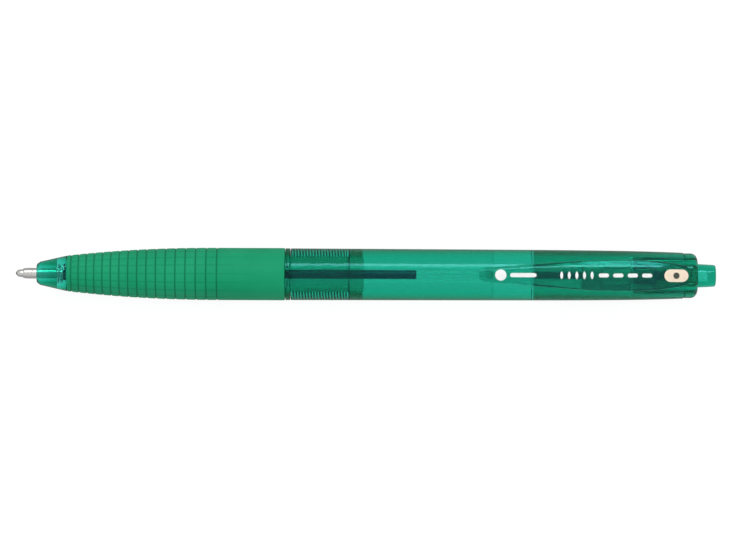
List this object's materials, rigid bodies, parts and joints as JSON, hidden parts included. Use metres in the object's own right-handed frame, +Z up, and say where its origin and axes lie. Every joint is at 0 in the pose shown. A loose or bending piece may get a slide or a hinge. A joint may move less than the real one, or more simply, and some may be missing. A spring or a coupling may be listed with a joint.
{
  "type": "retractable pen",
  "caption": "Click pen with a translucent green barrel, ribbed rubber grip, screw-on front, sprung clip and a refill that a rotary cam extends and retracts.",
  "frame": {"origin": "centre of the bounding box, on the surface that the pen lies on", "axes": "+X from the writing tip to the button, +Z up, with the clip on top"},
  "size_m": [0.144, 0.0108, 0.0131],
  "materials": {
    "green_plastic": "clear tinted, polished",
    "green_rubber": "matt",
    "clear_plastic": "clear",
    "white_plastic": "natural, moulded",
    "dark_plastic": "moulded",
    "ink": "wet paste",
    "nickel": "turned",
    "carbide": "polished",
    "spring_steel": "drawn wire"
  },
  "bodies": {
    "barrel": {"rear_barrel": "green_plastic", "tail_cap": "green_plastic"},
    "button": {"push_button": "green_plastic"},
    "cam": {"rotary_cam": "white_plastic"},
    "clip": {"clip": "green_plastic"},
    "spring": {"return_spring": "spring_steel"},
    "front": {"front_barrel": "green_plastic", "grip_sleeve": "green_rubber"},
    "refill": {"writing_ball": "carbide", "writing_tip": "nickel", "tip_holder": "dark_plastic", "ink_tube": "clear_plastic", "ink_column": "ink"}
  },
  "joints": [
    {"name": "button_slide", "type": "slide", "parent": "barrel", "child": "button", "axis": [1, 0, 0], "range_m": [-0.001, 0.0055], "stiffness_N_per_m": 150},
    {"name": "cam_turn", "type": "hinge", "parent": "button", "child": "cam", "pos_m": [0.05, 0, 0.00537], "axis": [1, 0, 0], "range_deg": [-8.5, 45.5]},
    {"name": "clip_flex", "type": "hinge", "parent": "barrel", "child": "clip", "pos_m": [0.0662, 0, 0.00962], "axis": [0, 1, 0], "range_deg": [0, 5], "stiffness_Nm_per_rad": 2.5},
    {"name": "thread_lead", "type": "slide", "parent": "barrel", "child": "spring", "axis": [-1, 0, 0], "range_m": [0, 0.012]},
    {"name": "front_unscrew", "type": "hinge", "parent": "spring", "child": "front", "pos_m": [-0.04, 0, 0.00537], "axis": [-1, 0, 0], "range_deg": [0, 3601]},
    {"name": "refill_slide", "type": "slide", "parent": "spring", "child": "refill", "axis": [1, 0, 0], "range_m": [-0.00101, 0.00551], "deforming": ["return_spring"]}
  ],
  "couplings": [
    {"joint": "refill_slide", "follows": "button_slide", "ratio": 1},
    {"joint": "cam_turn", "follows": "button_slide", "rad_per_m": 142.8},
    {"joint": "front_unscrew", "follows": "thread_lead", "rad_per_m": 5236}
  ]
}
